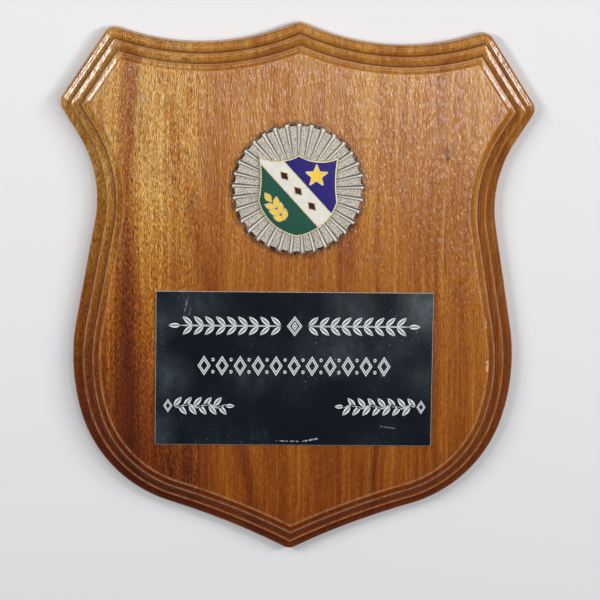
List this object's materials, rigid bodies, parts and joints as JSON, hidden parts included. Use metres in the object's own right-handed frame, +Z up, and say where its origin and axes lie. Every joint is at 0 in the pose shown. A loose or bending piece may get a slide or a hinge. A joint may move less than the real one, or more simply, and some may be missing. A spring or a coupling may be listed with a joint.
{
  "type": "presentation plaque",
  "caption": "Wall-hung shield plaque of walnut with a routed cove edge, a sunburst medallion bearing an enamelled crest, and an engraved metal plate.",
  "frame": {"origin": "centre of the keyhole's round entry, in the plane of the back face", "axes": "+Z up the plaque, +X to the viewer's right, +Y out of the back, into the wall; the decorated face looks along -Y"},
  "size_m": [0.1994, 0.0231, 0.2254],
  "materials": {
    "walnut": "lacquered solid walnut, satin to gloss",
    "foam_tape": "double-coated mounting tape",
    "silver_plated_casting": "silver-plated casting, stippled flats and polished rays",
    "crest_metal": "polished struck metal",
    "blue_enamel": "opaque glossy enamel",
    "green_enamel": "opaque glossy enamel",
    "white_enamel": "opaque glossy enamel",
    "yellow_enamel": "opaque glossy enamel",
    "brown_enamel": "opaque glossy enamel",
    "black_lacquered_plate": "blue-black gloss lacquer on aluminium, with bright cut lines"
  },
  "bodies": {
    "root": {"walnut_board": "walnut", "medallion_tape": "foam_tape", "sunburst_disc": "silver_plated_casting", "crest_badge": "crest_metal", "enamel_blue": "blue_enamel", "enamel_green": "green_enamel", "enamel_white": "white_enamel", "enamel_yellow": "yellow_enamel", "enamel_brown": "brown_enamel", "plate_tape": "foam_tape", "engraved_plate": "black_lacquered_plate"}
  },
  "joints": []
}
